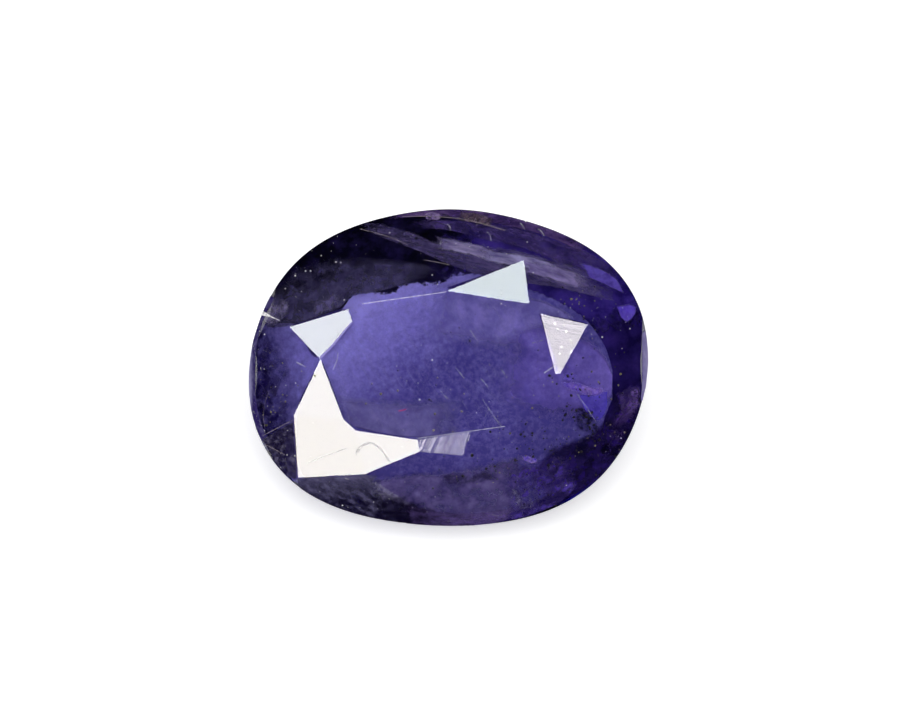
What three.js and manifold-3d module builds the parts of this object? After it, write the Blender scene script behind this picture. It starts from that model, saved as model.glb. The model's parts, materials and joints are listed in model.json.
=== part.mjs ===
// A loose oval iolite in a hand-cut mixed cut, one solid stone: a flat table, eight kites, eight stars and sixteen
// break facets on the crown, a thin girdle with flats at its two ends, and a pavilion of sixteen steep breaks under
// the girdle and eight mains that run down to a small culet.
// It is ground from an oval blank, facet by facet, and then laid down on its south main, as a loose stone lies on a
// desk: the table leans towards -Y and the front of the girdle is just clear of the surface.
// Millimetres. The stone's own frame has the girdle in its XY plane, X along the stone and Z out through the table.
import * as THREE from 'three';
import { mergeVertices } from 'three/addons/utils/BufferGeometryUtils.js';
import Module from 'manifold-3d';

const wasm = await Module();
wasm.setup();

// Driving dimensions, measured up and down from the middle of the girdle
const tableHeight = 1.52;
const girdleTop = 0.22;
const girdleBottom = -0.22;
const breakFoot = -1.7;
const apex = [-0.45, 0.5, -4.22];
const culetDepth = -4.02;
const blankMargin = 0.6;
const outlineSteps = 288;
const grinderSize = 60;

// The outline's distance from the centre is a mean plus waves round the stone. The two-lobed cosine makes it an oval
// of about 12.6 by 10, and the sines are the cutter's lean: the right end sits high and the left end low.
const outlineMean = 5.69;
const outlineWaves = [
  { lobes: 1, cosine: -0.019, sine: -0.026 },
  { lobes: 2, cosine: 0.676, sine: 0.063 },
  { lobes: 3, cosine: 0, sine: -0.029 },
  { lobes: 4, cosine: -0.041, sine: 0.062 },
  { lobes: 5, cosine: 0.01, sine: 0.018 },
  { lobes: 6, cosine: -0.031, sine: 0.018 },
];

// Crown, in order round the stone from the west. A kite starts at a corner of the table, which is blunt where it has
// two points, or at its own top where two stars meet above it, and it runs out on the girdle at its foot, an angle
// from east, or a little inside the girdle where a share of the way there is given. After each kite comes a star with
// its tip and its height. Under the tip two breaks meet on the girdle, at an angle and a height, because the girdle of
// a hand-cut stone is wavy.
const crown = [
  { corner: [[-4.04, 0.28]], foot: 180, tip: [-4.88, -1.5, 1.04], meet: [200, 0.2] },
  {
    corner: [[-3.31, -1.64], [-2.91, -1.97]],
    foot: 216,
    footShare: 0.963,
    tip: [-2.65, -3.34, 1.1],
    meet: [242, 0.2],
  },
  { corner: [[-0.98, -2.26]], kiteTop: [-0.92, -2.64, 1.4], foot: 268, tip: [2.01, -2.89, 1.2], meet: [298, 0.2] },
  { corner: [[1.78, -1.86]], foot: 324, tip: [4.72, -1.6, 0.86], meet: [342, 0.16] },
  { corner: [[3.35, -0.17]], kiteTop: [3.55, -0.18, 1.46], foot: 360, tip: [4.37, 1.38, 1.16], meet: [377, 0.2] },
  { corner: [[2.89, 1.7], [2.54, 2.03]], foot: 396, tip: [2.36, 3.41, 1.07], meet: [422, 0.2] },
  { corner: [[-0.05, 2.43]], foot: 451, tip: [-2.4, 3.33, 1.05], meet: [478, 0.2] },
  { corner: [[-2.57, 2.03]], foot: 504, tip: [-5.02, 1.3, 0.97], meet: [523, 0.16] },
];

// Flats on the girdle at the stone's two ends, each by its direction, its steepness and how much it takes off the top
const girdleFlats = [
  { direction: 0, steepness: 64, depth: 0.19 },
  { direction: 158, steepness: 62, depth: 0.16 },
  { direction: 180, steepness: 62, depth: 0.18 },
  { direction: 202, steepness: 62, depth: 0.16 },
];

// Pavilion: the breaks are evenly spaced, the mains face these directions and start this far in from the outline
const breakCount = 16;
const breakSteepness = 50;
const mainShare = 0.76;
const restDirection = 270;
const mainDirections = [restDirection, 318, 0, 44, 90, 137, 180, 223];

const radians = THREE.MathUtils.degToRad;

// Point of the outline at an angle from east, at a height
function outlinePoint(degrees, height) {
  const angle = radians(degrees);
  const distance = outlineWaves.reduce(
    (sum, wave) => sum + wave.cosine * Math.cos(wave.lobes * angle) + wave.sine * Math.sin(wave.lobes * angle),
    outlineMean,
  );
  return new THREE.Vector3(distance * Math.cos(angle), distance * Math.sin(angle), height);
}

const outline = Array.from({ length: outlineSteps }, (_, step) => outlinePoint((360 * step) / outlineSteps, 0));

// How far the outline reaches in a direction
function reach(degrees) {
  const direction = new THREE.Vector3(Math.cos(radians(degrees)), Math.sin(radians(degrees)), 0);
  return Math.max(...outline.map((point) => point.dot(direction)));
}

// Solid from a closed three.js geometry
function solidOf(geometry) {
  geometry.deleteAttribute('normal');
  geometry.deleteAttribute('uv');
  const merged = mergeVertices(geometry);
  const vertProperties = new Float32Array(merged.attributes.position.array);
  const triVerts = new Uint32Array(merged.index.array);
  return new wasm.Manifold(new wasm.Mesh({ numProp: 3, vertProperties, triVerts }));
}

// The oval blank, upright on the girdle's plane, a little taller than the finished stone
function ovalBlank() {
  const shape = new THREE.Shape(outline.map((point) => new THREE.Vector2(point.x, point.y)));
  const depth = tableHeight - apex[2] + 2 * blankMargin;
  const geometry = new THREE.ExtrudeGeometry(shape, { depth, bevelEnabled: false });
  geometry.translate(0, 0, apex[2] - blankMargin);
  return solidOf(geometry);
}

// Grinds away everything outside one facet's plane
function grind(stone, facet) {
  const geometry = new THREE.BoxGeometry(grinderSize, grinderSize, grinderSize);
  geometry.translate(0, 0, grinderSize / 2);
  const turn = new THREE.Quaternion().setFromUnitVectors(new THREE.Vector3(0, 0, 1), facet.normal);
  geometry.applyQuaternion(turn);
  const onPlane = facet.normal.clone().multiplyScalar(-facet.constant);
  geometry.translate(onPlane.x, onPlane.y, onPlane.z);
  return stone.subtract(solidOf(geometry));
}

// Facet through three points, facing away from the middle of the stone
function facetThrough(first, second, third) {
  const facet = new THREE.Plane().setFromCoplanarPoints(first, second, third);
  return facet.constant > 0 ? facet.negate() : facet;
}

// Facet that faces a direction, tilted from lying flat, at a distance from the axis at one height
function slopedFacet(degrees, tilt, distance, height) {
  const side = new THREE.Vector3(Math.cos(radians(degrees)), Math.sin(radians(degrees)), 0);
  const normal = side.clone().multiplyScalar(Math.sin(radians(tilt)));
  normal.z = Math.cos(radians(tilt));
  const point = side.clone().multiplyScalar(distance);
  point.z = height;
  return new THREE.Plane().setFromNormalAndCoplanarPoint(normal, point);
}

// Point of the table's plane
function onTable(corner) {
  return new THREE.Vector3(...corner, tableHeight);
}

// The kite of a station on the crown, through its top and the star tips on its two sides
function kiteFacet(station, before) {
  const middle = onTable(station.corner[0]).lerp(onTable(station.corner.at(-1)), 0.5);
  const top = station.kiteTop ? new THREE.Vector3(...station.kiteTop) : middle;
  return facetThrough(top, new THREE.Vector3(...before.tip), new THREE.Vector3(...station.tip));
}

// Where a kite runs out: the point of its plane over the outline, or at a share of the way to it
function kiteFoot(kite, degrees, share) {
  const foot = outlinePoint(degrees, 0).multiplyScalar(share);
  foot.z = -(kite.constant + kite.normal.dot(foot)) / kite.normal.z;
  return foot;
}

// Table, kites, stars and the break facets between them and the girdle
function crownFacets() {
  const kites = crown.map((station, index) => kiteFacet(station, crown.at(index - 1)));
  const feet = crown.map((station, index) => kiteFoot(kites[index], station.foot, station.footShare ?? 1));
  const facets = [slopedFacet(0, 0, 0, tableHeight), ...kites];
  crown.forEach((station, index) => {
    const next = (index + 1) % crown.length;
    const tip = new THREE.Vector3(...station.tip);
    const meet = outlinePoint(...station.meet);
    facets.push(
      facetThrough(onTable(station.corner.at(-1)), onTable(crown[next].corner[0]), tip),
      facetThrough(tip, feet[index], meet),
      facetThrough(tip, meet, feet[next]),
    );
  });
  return facets;
}

// Flats that the cutter left on the upper edge of the girdle
function girdleFacets() {
  return girdleFlats.map((flat) =>
    slopedFacet(flat.direction, flat.steepness, reach(flat.direction) - flat.depth, girdleTop),
  );
}

// Main facet of the pavilion that faces a direction. All mains aim at one apex, which is off centre, so that the
// front and east mains are shallow and the back and west ones steep.
function mainFacet(direction) {
  const distance = mainShare * reach(direction);
  const apexShift = apex[0] * Math.cos(radians(direction)) + apex[1] * Math.sin(radians(direction));
  const slope = THREE.MathUtils.radToDeg(Math.atan2(breakFoot - apex[2], distance - apexShift));
  return slopedFacet(direction, 180 - slope, distance, breakFoot);
}

// Steep breaks under the girdle, the mains and the culet
function pavilionFacets() {
  const facets = [slopedFacet(0, 180, 0, culetDepth)];
  for (let index = 0; index < breakCount; index += 1) {
    const direction = (360 * (index + 0.5)) / breakCount;
    facets.push(slopedFacet(direction, 180 - breakSteepness, reach(direction), girdleBottom));
  }
  mainDirections.forEach((direction) => facets.push(mainFacet(direction)));
  return facets;
}

// Cut stone as a three.js mesh, in its own frame
function cutStone() {
  const stone = [...crownFacets(), ...girdleFacets(), ...pavilionFacets()].reduce(grind, ovalBlank());
  const cut = stone.getMesh();
  const geometry = new THREE.BufferGeometry();
  geometry.setAttribute('position', new THREE.BufferAttribute(new Float32Array(cut.vertProperties), 3));
  geometry.setIndex(new THREE.BufferAttribute(new Uint32Array(cut.triVerts), 1));
  const polished = new THREE.MeshStandardMaterial({ color: 0x463f85, roughness: 0.05, metalness: 0, flatShading: true });
  const mesh = new THREE.Mesh(geometry, polished);
  mesh.name = 'iolite_gem';
  return mesh;
}

// Lays the stone down on its south main, centred over the origin
function layDown(mesh) {
  const rest = mainFacet(restDirection);
  mesh.rotation.x = Math.acos(-rest.normal.z);
  mesh.updateMatrixWorld();
  const box = new THREE.Box3().setFromObject(mesh, true);
  const middle = box.getCenter(new THREE.Vector3());
  mesh.position.set(-middle.x, -middle.y, -box.min.z);
}

const gem = cutStone();
layDown(gem);

const group = new THREE.Group();
group.add(gem);

export default group;
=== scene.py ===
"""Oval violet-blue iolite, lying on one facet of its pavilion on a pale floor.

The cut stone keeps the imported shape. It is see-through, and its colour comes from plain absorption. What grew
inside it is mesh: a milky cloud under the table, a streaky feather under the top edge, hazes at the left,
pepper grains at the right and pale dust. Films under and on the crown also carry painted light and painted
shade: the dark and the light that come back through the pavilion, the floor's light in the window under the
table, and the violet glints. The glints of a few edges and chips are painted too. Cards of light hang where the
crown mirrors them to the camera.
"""
from __future__ import annotations

import json
import logging
import math
import random
from dataclasses import dataclass
from typing import Any, Callable, Union

import bpy
from mathutils import Matrix, Vector

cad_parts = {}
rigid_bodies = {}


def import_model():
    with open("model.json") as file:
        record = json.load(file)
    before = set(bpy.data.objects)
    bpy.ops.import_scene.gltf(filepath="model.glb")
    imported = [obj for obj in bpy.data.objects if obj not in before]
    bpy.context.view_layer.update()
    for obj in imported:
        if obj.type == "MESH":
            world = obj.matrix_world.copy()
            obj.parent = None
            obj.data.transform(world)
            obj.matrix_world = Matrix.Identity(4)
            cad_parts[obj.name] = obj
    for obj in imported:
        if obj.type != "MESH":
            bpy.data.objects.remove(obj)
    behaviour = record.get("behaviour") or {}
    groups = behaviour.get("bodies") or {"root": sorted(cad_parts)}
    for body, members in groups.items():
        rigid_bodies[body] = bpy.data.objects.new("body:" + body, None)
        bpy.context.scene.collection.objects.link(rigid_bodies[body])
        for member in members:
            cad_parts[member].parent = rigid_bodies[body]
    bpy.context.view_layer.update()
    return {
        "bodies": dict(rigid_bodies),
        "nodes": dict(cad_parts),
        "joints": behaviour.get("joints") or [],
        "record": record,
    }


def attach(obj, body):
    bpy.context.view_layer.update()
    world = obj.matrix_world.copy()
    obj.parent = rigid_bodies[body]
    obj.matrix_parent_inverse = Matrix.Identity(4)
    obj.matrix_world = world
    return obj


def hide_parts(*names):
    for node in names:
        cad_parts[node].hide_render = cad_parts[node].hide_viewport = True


logging.basicConfig(level=logging.INFO, format="%(message)s")
log = logging.getLogger("iolite")

MM = 0.001
STONE_NODE = "iolite_gem"
STONE_BODY = "root"
REFRACTIVE_INDEX = 1.54

# The photo's size, the stone's box in it, and the values of its colours
PHOTO_WIDTH_PX = 898
PHOTO_HEIGHT_PX = 720
PHOTO_STONE_LEFT_PX = 249
PHOTO_STONE_RIGHT_PX = 648
PHOTO_STONE_MIDDLE_PX = (448.5, 367.5)
PHOTO_WHITE = 255.0
PHOTO_GAMMA = 2.2
CAMERA_DISTANCE_MM = 300.0

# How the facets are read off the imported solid
TABLE_HEIGHT_MM = 1.52
SMALLEST_FACE_MM2 = 0.002
FACET_ROUNDING = 60
CROWN_FACING = 0.3
GIRDLE_FACING = 0.1
SAME_FACET = 0.9999
MERGE_MM = 0.002
FLAT_DEGREES = 0.2

# How a place under the crown is kept inside the stone
CLEARANCE_MM = 0.02
DEPTH_SHARES = (1.0, 0.7, 0.5, 0.35, 0.2)
INSIDE_TRIES = 40
INSIDE_STEP = 0.03
OVER_CROWN_SHARE = 2.0

# Names of the numbers that the meshes carry for their materials
RIM_FADE = "rim_fade"
GIRDLE_MASK = "girdle"

# How much red, green and blue come back from a film just under the crown, and the palest film
LIGHT_INSIDE = (0.52, 0.515, 0.63)
PALEST = 0.95

# Two stars that are used twice: a pixel of the east one, and where the grey one's polished part ends
EAST_STAR_PX = (560.0, 335.0)
GREY_STAR_END_PX = ((470.5, 433.6), (461.5, 455.3))

Point = tuple[float, float]
Colour = tuple[float, float, float, float]
Socket = Union["Wire", float]


class Wire:
    """A node's output socket that takes arithmetic, adding a Math node for each operation."""

    def __init__(self, tree: bpy.types.NodeTree, socket: bpy.types.NodeSocket) -> None:
        """Hold the tree and the socket."""
        self.tree = tree
        self.socket = socket

    def _math(self, operation: str, first: Socket, second: Socket = 0.0, clamp: bool = False) -> "Wire":
        """Add one Math node.

        Args:
            operation: The Math node's operation.
            first: Its first value or link.
            second: Its second value or link.
            clamp: Whether the result is held between 0 and 1.

        Returns:
            The node's result.
        """
        node = self.tree.nodes.new("ShaderNodeMath")
        node.operation = operation
        node.use_clamp = clamp
        for slot, value in enumerate((first, second)):
            if isinstance(value, Wire):
                self.tree.links.new(value.socket, node.inputs[slot])
            else:
                node.inputs[slot].default_value = value
        return Wire(self.tree, node.outputs[0])

    def __add__(self, other: Socket) -> "Wire":
        """Return the sum."""
        return self._math("ADD", self, other)

    def __radd__(self, other: Socket) -> "Wire":
        """Return the sum."""
        return self._math("ADD", other, self)

    def __sub__(self, other: Socket) -> "Wire":
        """Return the difference."""
        return self._math("SUBTRACT", self, other)

    def __rsub__(self, other: Socket) -> "Wire":
        """Return the difference the other way round."""
        return self._math("SUBTRACT", other, self)

    def __mul__(self, other: Socket) -> "Wire":
        """Return the product."""
        return self._math("MULTIPLY", self, other)

    def __rmul__(self, other: Socket) -> "Wire":
        """Return the product."""
        return self._math("MULTIPLY", other, self)

    def __truediv__(self, other: Socket) -> "Wire":
        """Return the quotient."""
        return self._math("DIVIDE", self, other)

    def clamped(self) -> "Wire":
        """Return the value held between 0 and 1."""
        return self._math("ADD", self, 0.0, clamp=True)

    def ramp(self, low: float, high: float) -> "Wire":
        """Return 0 up to low, 1 from high on, and a straight rise between."""
        return ((self - low) / (high - low)).clamped()


class NodeSheet:
    """One material's node tree, with a method that makes any node."""

    def __init__(self, name: str) -> None:
        """Start an empty material.

        Args:
            name: The material's name.
        """
        self.material = bpy.data.materials.new(name)
        self.material.use_nodes = True
        self.tree = self.material.node_tree
        self.tree.nodes.clear()
        self.output = self.tree.nodes.new("ShaderNodeOutputMaterial")

    def node(self, kind: str, settings: dict[str, Any] | None = None,
             inputs: dict[Any, Any] | None = None) -> Any:
        """Make a node.

        Args:
            kind: The node's type.
            settings: Properties that are set first.
            inputs: Values or links by socket name or number.

        Returns:
            The new node.
        """
        made = self.tree.nodes.new(kind)
        for key, value in (settings or {}).items():
            setattr(made, key, value)
        for key, value in (inputs or {}).items():
            if isinstance(value, Wire):
                self.tree.links.new(value.socket, made.inputs[key])
            elif isinstance(value, bpy.types.NodeSocket):
                self.tree.links.new(value, made.inputs[key])
            else:
                made.inputs[key].default_value = value
        return made

    def wire(self, socket: bpy.types.NodeSocket) -> Wire:
        """Wrap a socket for arithmetic."""
        return Wire(self.tree, socket)

    def place(self) -> bpy.types.NodeSocket:
        """Return the object coordinates, in metres."""
        return self.node("ShaderNodeTexCoord").outputs["Object"]

    def attribute(self, name: str) -> Wire:
        """Return a number that the mesh carries."""
        return self.wire(self.node("ShaderNodeAttribute", {"attribute_name": name}).outputs["Fac"])

    def along(self, direction: Vector, origin: Vector) -> Wire:
        """Return how far a place is from an origin in a direction, in millimetres.

        Args:
            direction: The direction, of length 1.
            origin: Where the count starts, in metres.

        Returns:
            The distance.
        """
        moved = self.node("ShaderNodeVectorMath", {"operation": "SUBTRACT"}, {0: self.place(), 1: origin})
        run = self.node("ShaderNodeVectorMath", {"operation": "DOT_PRODUCT"}, {
            0: moved.outputs[0], 1: direction})
        return self.wire(run.outputs["Value"]) / MM

    def noise(self, scale: float, detail: float = 3.0, roughness: float = 0.55,
              length: tuple[float, float, float] = (1.0, 1.0, 1.0),
              turn: tuple[float, float, float] = (0.0, 0.0, 0.0),
              shift: tuple[float, float, float] = (0.0, 0.0, 0.0)) -> Wire:
        """Return a cloud pattern from 0 to 1.

        Args:
            scale: Clouds per metre.
            detail: Octaves of finer clouds.
            roughness: How strong the finer clouds are.
            length: How far the clouds are drawn out along each of the pattern's axes.
            turn: How the pattern's axes are turned, in radians.
            shift: Where the pattern starts, in metres.

        Returns:
            The pattern's value.
        """
        mapped = self.node("ShaderNodeMapping", {"vector_type": "TEXTURE"}, {
            "Vector": self.place(), "Location": shift, "Rotation": turn, "Scale": length})
        made = self.node("ShaderNodeTexNoise", inputs={
            "Vector": mapped.outputs[0], "Scale": scale, "Detail": detail, "Roughness": roughness})
        return self.wire(made.outputs["Fac"])

    def finish(self, surface: bpy.types.NodeSocket,
               volume: bpy.types.NodeSocket | None = None) -> bpy.types.Material:
        """Join the shaders to the output.

        Args:
            surface: The surface shader.
            volume: The volume shader, if the material has one.

        Returns:
            The material.
        """
        self.tree.links.new(surface, self.output.inputs["Surface"])
        if volume is not None:
            self.tree.links.new(volume, self.output.inputs["Volume"])
        return self.material


@dataclass(frozen=True)
class CutIolite:
    """Polished see-through iolite with a ground girdle. Two of its stars keep the polishing wheel's lines."""

    colour: Colour = (0.5, 0.42, 0.88, 1.0)
    density: float = 450.0
    girdle_roughness: float = 0.12
    ripple_size_mm: float = 0.25
    ripple_height_mm: float = 0.00002
    lines_length: float = 100.0
    octaves: float = 2.0

    def material(self, stone: "StoneFrame") -> bpy.types.Material:
        """Return the stone's material.

        Args:
            stone: The stone's axes.

        Returns:
            The material.
        """
        sheet = NodeSheet("iolite_cut")
        roughness = sheet.attribute(GIRDLE_MASK) * self.girdle_roughness
        for star in POLISHED_STARS:
            lines = sheet.noise(1.0 / (star.line_mm * MM), self.octaves, turn=stone.turned(star.degrees),
                                length=(self.lines_length, 1.0, self.lines_length))
            roughness = roughness + lines.ramp(*star.contrast) * sheet.attribute(star.mask) * star.roughness
        ripple = sheet.noise(1.0 / (self.ripple_size_mm * MM), self.octaves)
        bump = sheet.node("ShaderNodeBump", inputs={
            "Height": ripple, "Strength": 1.0, "Distance": self.ripple_height_mm * MM})
        shader = sheet.node("ShaderNodeBsdfPrincipled", inputs={
            "Base Color": (1.0, 1.0, 1.0, 1.0), "Transmission Weight": 1.0, "IOR": REFRACTIVE_INDEX,
            "Roughness": roughness, "Normal": bump.outputs[0]})
        absorb = sheet.node("ShaderNodeVolumeAbsorption", inputs={
            "Color": self.colour, "Density": self.density})
        return sheet.finish(shader.outputs[0], absorb.outputs[0])


@dataclass(frozen=True)
class MilkAndPaintedLight:
    """Finish of a film, a milky veil or painted light and shade: two shades in clouds or streaks, with a ragged
    rim.

    The two shades are colours as the photo shows them. The lean adds a share of the brighter shade along a
    direction, from a start to an end: its weight, its angle in degrees, and the two places in millimetres.
    """

    dim: tuple[float, float, float]
    bright: tuple[float, float, float]
    cover: float = 0.85
    least: float = 0.0
    cloud_mm: float = 0.6
    contrast: tuple[float, float] = (0.35, 0.65)
    drawn_out: float = 1.0
    degrees: float = 0.0
    mottle: float = 1.0
    fine: float = 0.35
    lean: tuple[float, float, float, float] = (0.0, 0.0, 0.0, 1.0)
    ragged: float = 0.8
    ragged_mm: float = 0.2
    rim_span: float = 0.5
    cloud_octaves: float = 6.0
    cloud_roughness: float = 0.6
    shades_per_cloud: float = 0.8
    shade_octaves: float = 5.0
    shade_shift_mm: tuple[float, float, float] = (3.0, 1.0, 2.0)
    fine_mm: float = 0.19
    fine_roughness: float = 0.75
    fine_contrast: tuple[float, float] = (0.3, 0.7)
    fine_shift_mm: tuple[float, float, float] = (2.0, 0.0, 1.0)
    roughness: float = 0.9

    def material(self, name: str, stone: "StoneFrame") -> bpy.types.Material:
        """Return the film's material.

        Args:
            name: The material's name.
            stone: The stone's axes.

        Returns:
            The material.
        """
        sheet = NodeSheet(name)
        turn = stone.turned(self.degrees)
        length = (self.drawn_out, 1.0, 1.0)
        clouds = sheet.noise(1.0 / (self.cloud_mm * MM), self.cloud_octaves, self.cloud_roughness,
                             length, turn)
        shades = sheet.noise(self.shades_per_cloud / (self.cloud_mm * MM), self.shade_octaves,
                             self.cloud_roughness, length, turn, tuple(s * MM for s in self.shade_shift_mm))
        fine = sheet.noise(1.0 / (self.fine_mm * MM), self.cloud_octaves, self.fine_roughness,
                           shift=tuple(s * MM for s in self.fine_shift_mm))
        weight, degrees, start, end = self.lean
        across = stone.direction(math.cos(math.radians(degrees)), math.sin(math.radians(degrees)), 0.0)
        leaning = sheet.along(across, stone.middle).ramp(start, end) * weight
        grain = (fine.ramp(*self.fine_contrast) - 0.5) * self.fine
        tone = (shades.ramp(*self.contrast) * self.mottle + leaning + grain).clamped()
        colour = sheet.node("ShaderNodeMix", {"data_type": "RGBA"}, {
            0: tone, 6: inside_shade(*self.dim), 7: inside_shade(*self.bright)})
        tears = sheet.noise(1.0 / (self.ragged_mm * MM)) * self.ragged
        rim = (sheet.attribute(RIM_FADE) * (1.0 + self.ragged) - tears).ramp(0.0, self.rim_span)
        cover = (clouds.ramp(*self.contrast) * (1.0 - self.least) + self.least) * rim * self.cover
        shader = sheet.node("ShaderNodeBsdfPrincipled", inputs={
            "Base Color": colour.outputs[2], "Roughness": self.roughness, "Specular IOR Level": 0.0,
            "Alpha": cover})
        return sheet.finish(shader.outputs[0])


@dataclass(frozen=True)
class Grain:
    """Solid speck: black pepper, olive mineral, pale dust, or a chip whose glint is painted as a glow of its
    own.
    """

    dark: Colour
    light: Colour
    roughness: float = 0.6
    glow: float = 0.0
    patches_per_metre: float = 9000.0
    contrast: tuple[float, float] = (0.35, 0.65)

    def material(self, name: str) -> bpy.types.Material:
        """Return the speck's material.

        Args:
            name: The material's name.

        Returns:
            The material.
        """
        sheet = NodeSheet(name)
        mix = sheet.node("ShaderNodeMix", {"data_type": "RGBA"}, {
            0: sheet.noise(self.patches_per_metre).ramp(*self.contrast), 6: self.dark, 7: self.light})
        shader = sheet.node("ShaderNodeBsdfPrincipled", inputs={
            "Base Color": mix.outputs[2], "Roughness": self.roughness,
            "Emission Color": self.light, "Emission Strength": self.glow})
        return sheet.finish(shader.outputs[0])


@dataclass(frozen=True)
class FrostAndPaintedGlint:
    """Crushed, matt track of a scratch or of a worn facet edge, or a painted glint on an edge, broken up along
    its way.
    """

    colour: Colour
    cover: float
    break_mm: float = 0.12
    break_octaves: float = 4.0
    contrast: tuple[float, float] = (0.3, 0.6)
    least: float = 0.3
    roughness: float = 0.8

    def material(self, name: str) -> bpy.types.Material:
        """Return the track's material.

        Args:
            name: The material's name.

        Returns:
            The material.
        """
        sheet = NodeSheet(name)
        breaks = sheet.noise(1.0 / (self.break_mm * MM), self.break_octaves).ramp(*self.contrast)
        shader = sheet.node("ShaderNodeBsdfPrincipled", inputs={
            "Base Color": self.colour, "Roughness": self.roughness,
            "Alpha": (breaks * (1.0 - self.least) + self.least) * self.cover})
        return sheet.finish(shader.outputs[0])


@dataclass(frozen=True)
class PaleFloor:
    """Plain white floor with a faint gloss. A light of its own keeps it white to its far end."""

    colour: Colour = (0.85, 0.85, 0.85, 1.0)
    roughness: float = 0.3
    glow: float = 0.5
    grains_per_metre: float = 400.0
    grain_octaves: float = 2.0
    grain_roughness: float = 0.04

    def material(self) -> bpy.types.Material:
        """Return the floor's material.

        Returns:
            The material.
        """
        sheet = NodeSheet("pale_floor")
        grain = sheet.noise(self.grains_per_metre, self.grain_octaves)
        shader = sheet.node("ShaderNodeBsdfPrincipled", inputs={
            "Base Color": self.colour, "Roughness": self.roughness + self.grain_roughness * grain,
            "Emission Color": (1.0, 1.0, 1.0, 1.0), "Emission Strength": self.glow})
        return sheet.finish(shader.outputs[0])


@dataclass(frozen=True)
class PolishedStar:
    """Star facet that keeps polishing lines: a pixel on it, the lines' direction, and how rough they are.

    With an end, given by two pixels, the lines stop at a cut across the star.
    """

    mask: str
    pixel: Point
    degrees: float
    roughness: float
    line_mm: float
    contrast: tuple[float, float]
    end: tuple[Point, ...] = ()


POLISHED_STARS = (
    PolishedStar("east_lines", EAST_STAR_PX, -11.5, 0.16, 0.05, (0.12, 0.98)),
    PolishedStar("south_lines", (442.0, 445.0), 66.0, 0.29, 0.06, (0.2, 0.82), GREY_STAR_END_PX),
)


def inside_shade(red: float, green: float, blue: float) -> Colour:
    """Return the base colour of a film that shows, through the crown, as a colour of the photo.

    Args:
        red: The seen red, from 0 to 255.
        green: The seen green.
        blue: The seen blue.

    Returns:
        The film's base colour.
    """
    seen = [(value / PHOTO_WHITE) ** PHOTO_GAMMA for value in (red, green, blue)]
    return (*(min(PALEST, value / share) for value, share in zip(seen, LIGHT_INSIDE)), 1.0)


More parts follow.
